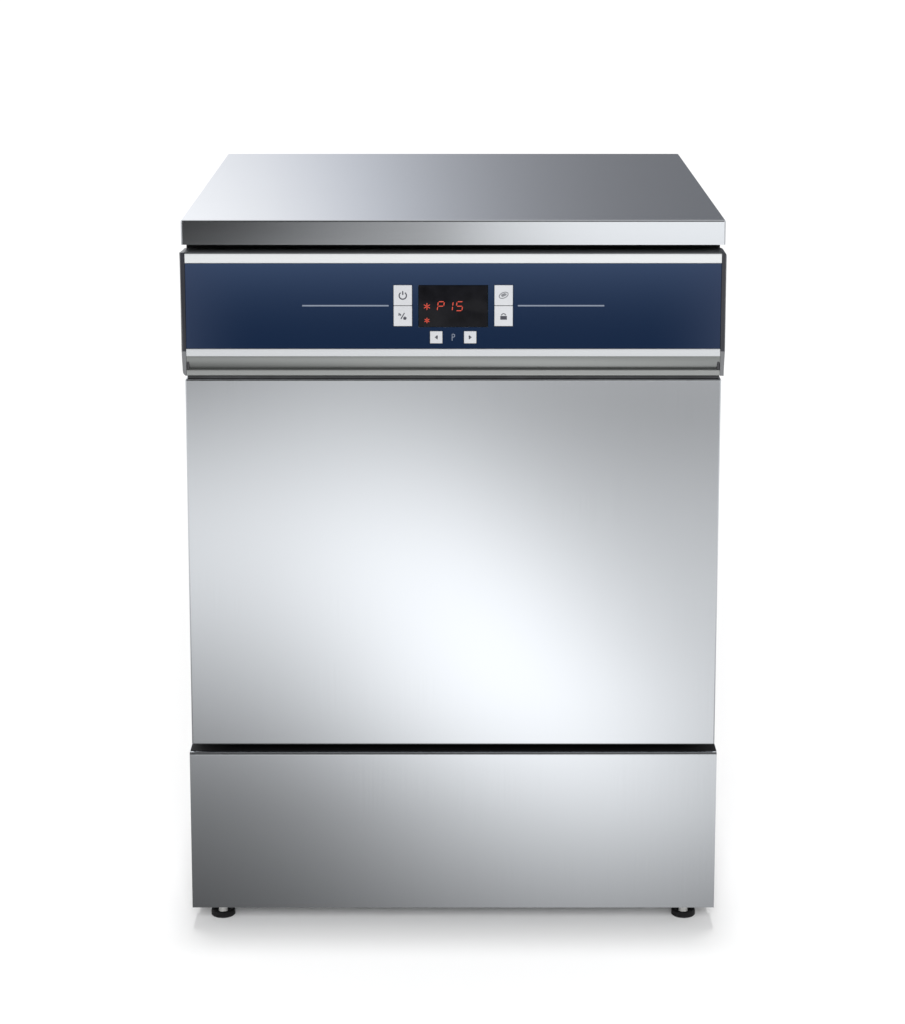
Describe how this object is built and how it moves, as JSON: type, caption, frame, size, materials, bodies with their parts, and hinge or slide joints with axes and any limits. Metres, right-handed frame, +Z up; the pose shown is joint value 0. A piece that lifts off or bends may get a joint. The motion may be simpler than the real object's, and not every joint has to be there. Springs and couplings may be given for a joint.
{
  "type": "commercial dishwasher",
  "caption": "Under-counter commercial dishwasher with a drop-down steel door that carries its control console and full-width grip.",
  "frame": {"origin": "on the floor, under the middle of the cabinet", "axes": "+Z up, the door faces -Y, +X to the right seen from the front"},
  "size_m": [0.6, 0.64, 0.82],
  "materials": {
    "stainless_steel": "brushed, fine vertical grain",
    "satin_silver": "satin anodised",
    "blue_fascia": "satin dark blue foil",
    "dark_grey_plastic": "fine matte",
    "grey_plastic": "matte moulded",
    "white_plastic": "satin moulded",
    "black_glass": "gloss",
    "black_rubber": "matte rubber",
    "rack_plastic": "moulded polypropylene",
    "circuit_board": "solder mask"
  },
  "bodies": {
    "root": {"worktop": "stainless_steel", "side_panel_left": "stainless_steel", "side_panel_right": "stainless_steel", "rear_panel": "stainless_steel", "base_tray": "stainless_steel", "kick_panel": "stainless_steel", "front_top_rail": "stainless_steel", "tub": "stainless_steel", "tub_gasket": "black_rubber", "sump": "stainless_steel", "filter_plate": "stainless_steel", "rack_rail_left": "stainless_steel", "rack_rail_right": "stainless_steel", "hinge_bracket_left": "stainless_steel", "hinge_bracket_right": "stainless_steel", "hinge_pin_left": "stainless_steel", "hinge_pin_right": "stainless_steel", "counterbalance_spring_left": "stainless_steel", "counterbalance_spring_right": "stainless_steel", "feed_pipe": "grey_plastic", "lower_spindle": "stainless_steel", "upper_spindle": "stainless_steel", "wash_pump_housing": "grey_plastic", "wash_pump_motor": "dark_grey_plastic", "drain_pump": "grey_plastic", "boiler": "stainless_steel", "dosing_pump": "grey_plastic", "inlet_spigot": "grey_plastic", "drain_spigot": "dark_grey_plastic", "cable_gland": "black_rubber"},
    "door": {"door_outer_panel": "stainless_steel", "door_liner": "stainless_steel", "console_body": "satin_silver", "console_fascia": "blue_fascia", "end_cap_left": "grey_plastic", "end_cap_right": "grey_plastic", "display_window": "black_glass", "control_board": "circuit_board", "console_cover": "stainless_steel", "hinge_arm_left": "stainless_steel", "hinge_arm_right": "stainless_steel", "door_strike": "stainless_steel"},
    "button_left_upper_body": {"button_left_upper": "white_plastic"},
    "button_left_lower_body": {"button_left_lower": "white_plastic"},
    "button_right_upper_body": {"button_right_upper": "white_plastic"},
    "button_right_lower_body": {"button_right_lower": "white_plastic"},
    "key_left_body": {"key_left": "white_plastic"},
    "key_right_body": {"key_right": "white_plastic"},
    "foot_front_left_body": {"foot_front_left": "black_rubber"},
    "foot_front_right_body": {"foot_front_right": "black_rubber"},
    "foot_rear_left_body": {"foot_rear_left": "black_rubber"},
    "foot_rear_right_body": {"foot_rear_right": "black_rubber"},
    "lower_wash_arm_body": {"lower_wash_arm": "stainless_steel"},
    "lower_rinse_arm_body": {"lower_rinse_arm": "stainless_steel"},
    "upper_wash_arm_body": {"upper_wash_arm": "stainless_steel"},
    "upper_rinse_arm_body": {"upper_rinse_arm": "stainless_steel"},
    "rack_body": {"rack": "rack_plastic"},
    "filter_cup_body": {"filter_cup": "grey_plastic"},
    "wash_pump_impeller_body": {"wash_pump_impeller": "grey_plastic"},
    "door_latch_body": {"door_latch": "stainless_steel"}
  },
  "joints": [
    {"name": "door_hinge", "type": "hinge", "parent": "root", "child": "door", "pos_m": [0, -0.3, 0.2466], "axis": [1, 0, 0], "range_deg": [0, 90]},
    {"name": "button_left_upper_press", "type": "slide", "parent": "door", "child": "button_left_upper_body", "axis": [0, 1, 0], "range_m": [0, 0.0012], "stiffness_N_per_m": 600},
    {"name": "button_left_lower_press", "type": "slide", "parent": "door", "child": "button_left_lower_body", "axis": [0, 1, 0], "range_m": [0, 0.0012], "stiffness_N_per_m": 600},
    {"name": "button_right_upper_press", "type": "slide", "parent": "door", "child": "button_right_upper_body", "axis": [0, 1, 0], "range_m": [0, 0.0012], "stiffness_N_per_m": 600},
    {"name": "button_right_lower_press", "type": "slide", "parent": "door", "child": "button_right_lower_body", "axis": [0, 1, 0], "range_m": [0, 0.0012], "stiffness_N_per_m": 600},
    {"name": "key_left_press", "type": "slide", "parent": "door", "child": "key_left_body", "axis": [0, 1, 0], "range_m": [0, 0.0012], "stiffness_N_per_m": 600},
    {"name": "key_right_press", "type": "slide", "parent": "door", "child": "key_right_body", "axis": [0, 1, 0], "range_m": [0, 0.0012], "stiffness_N_per_m": 600},
    {"name": "foot_front_left_screw", "type": "slide", "parent": "root", "child": "foot_front_left_body", "axis": [0, 0, -1], "range_m": [0, 0.02]},
    {"name": "foot_front_right_screw", "type": "slide", "parent": "root", "child": "foot_front_right_body", "axis": [0, 0, -1], "range_m": [0, 0.02]},
    {"name": "foot_rear_left_screw", "type": "slide", "parent": "root", "child": "foot_rear_left_body", "axis": [0, 0, -1], "range_m": [0, 0.02]},
    {"name": "foot_rear_right_screw", "type": "slide", "parent": "root", "child": "foot_rear_right_body", "axis": [0, 0, -1], "range_m": [0, 0.02]},
    {"name": "lower_wash_arm_spin", "type": "hinge", "parent": "root", "child": "lower_wash_arm_body", "pos_m": [0, 0, 0.3055], "axis": [0, 0, 1], "continuous": true},
    {"name": "lower_rinse_arm_spin", "type": "hinge", "parent": "root", "child": "lower_rinse_arm_body", "pos_m": [0, 0, 0.3215], "axis": [0, 0, 1], "continuous": true},
    {"name": "upper_wash_arm_spin", "type": "hinge", "parent": "root", "child": "upper_wash_arm_body", "pos_m": [0, 0, 0.667], "axis": [0, 0, 1], "continuous": true},
    {"name": "upper_rinse_arm_spin", "type": "hinge", "parent": "root", "child": "upper_rinse_arm_body", "pos_m": [0, 0, 0.649], "axis": [0, 0, 1], "continuous": true},
    {"name": "rack_slide", "type": "slide", "parent": "root", "child": "rack_body", "axis": [0, -1, 0], "range_m": [0, 0.012]},
    {"name": "filter_cup_twist", "type": "hinge", "parent": "root", "child": "filter_cup_body", "pos_m": [0.075, -0.065, 0.2666], "axis": [0, 0, 1], "range_deg": [0, 45]},
    {"name": "pump_impeller_spin", "type": "hinge", "parent": "root", "child": "wash_pump_impeller_body", "pos_m": [-0.2, -0.079, 0.11], "axis": [0, 1, 0], "continuous": true},
    {"name": "door_latch_lift", "type": "hinge", "parent": "root", "child": "door_latch_body", "pos_m": [0, -0.255, 0.742], "axis": [-1, 0, 0], "range_deg": [0, 12], "stiffness_Nm_per_rad": 0.6, "springref_deg": -5.73}
  ]
}
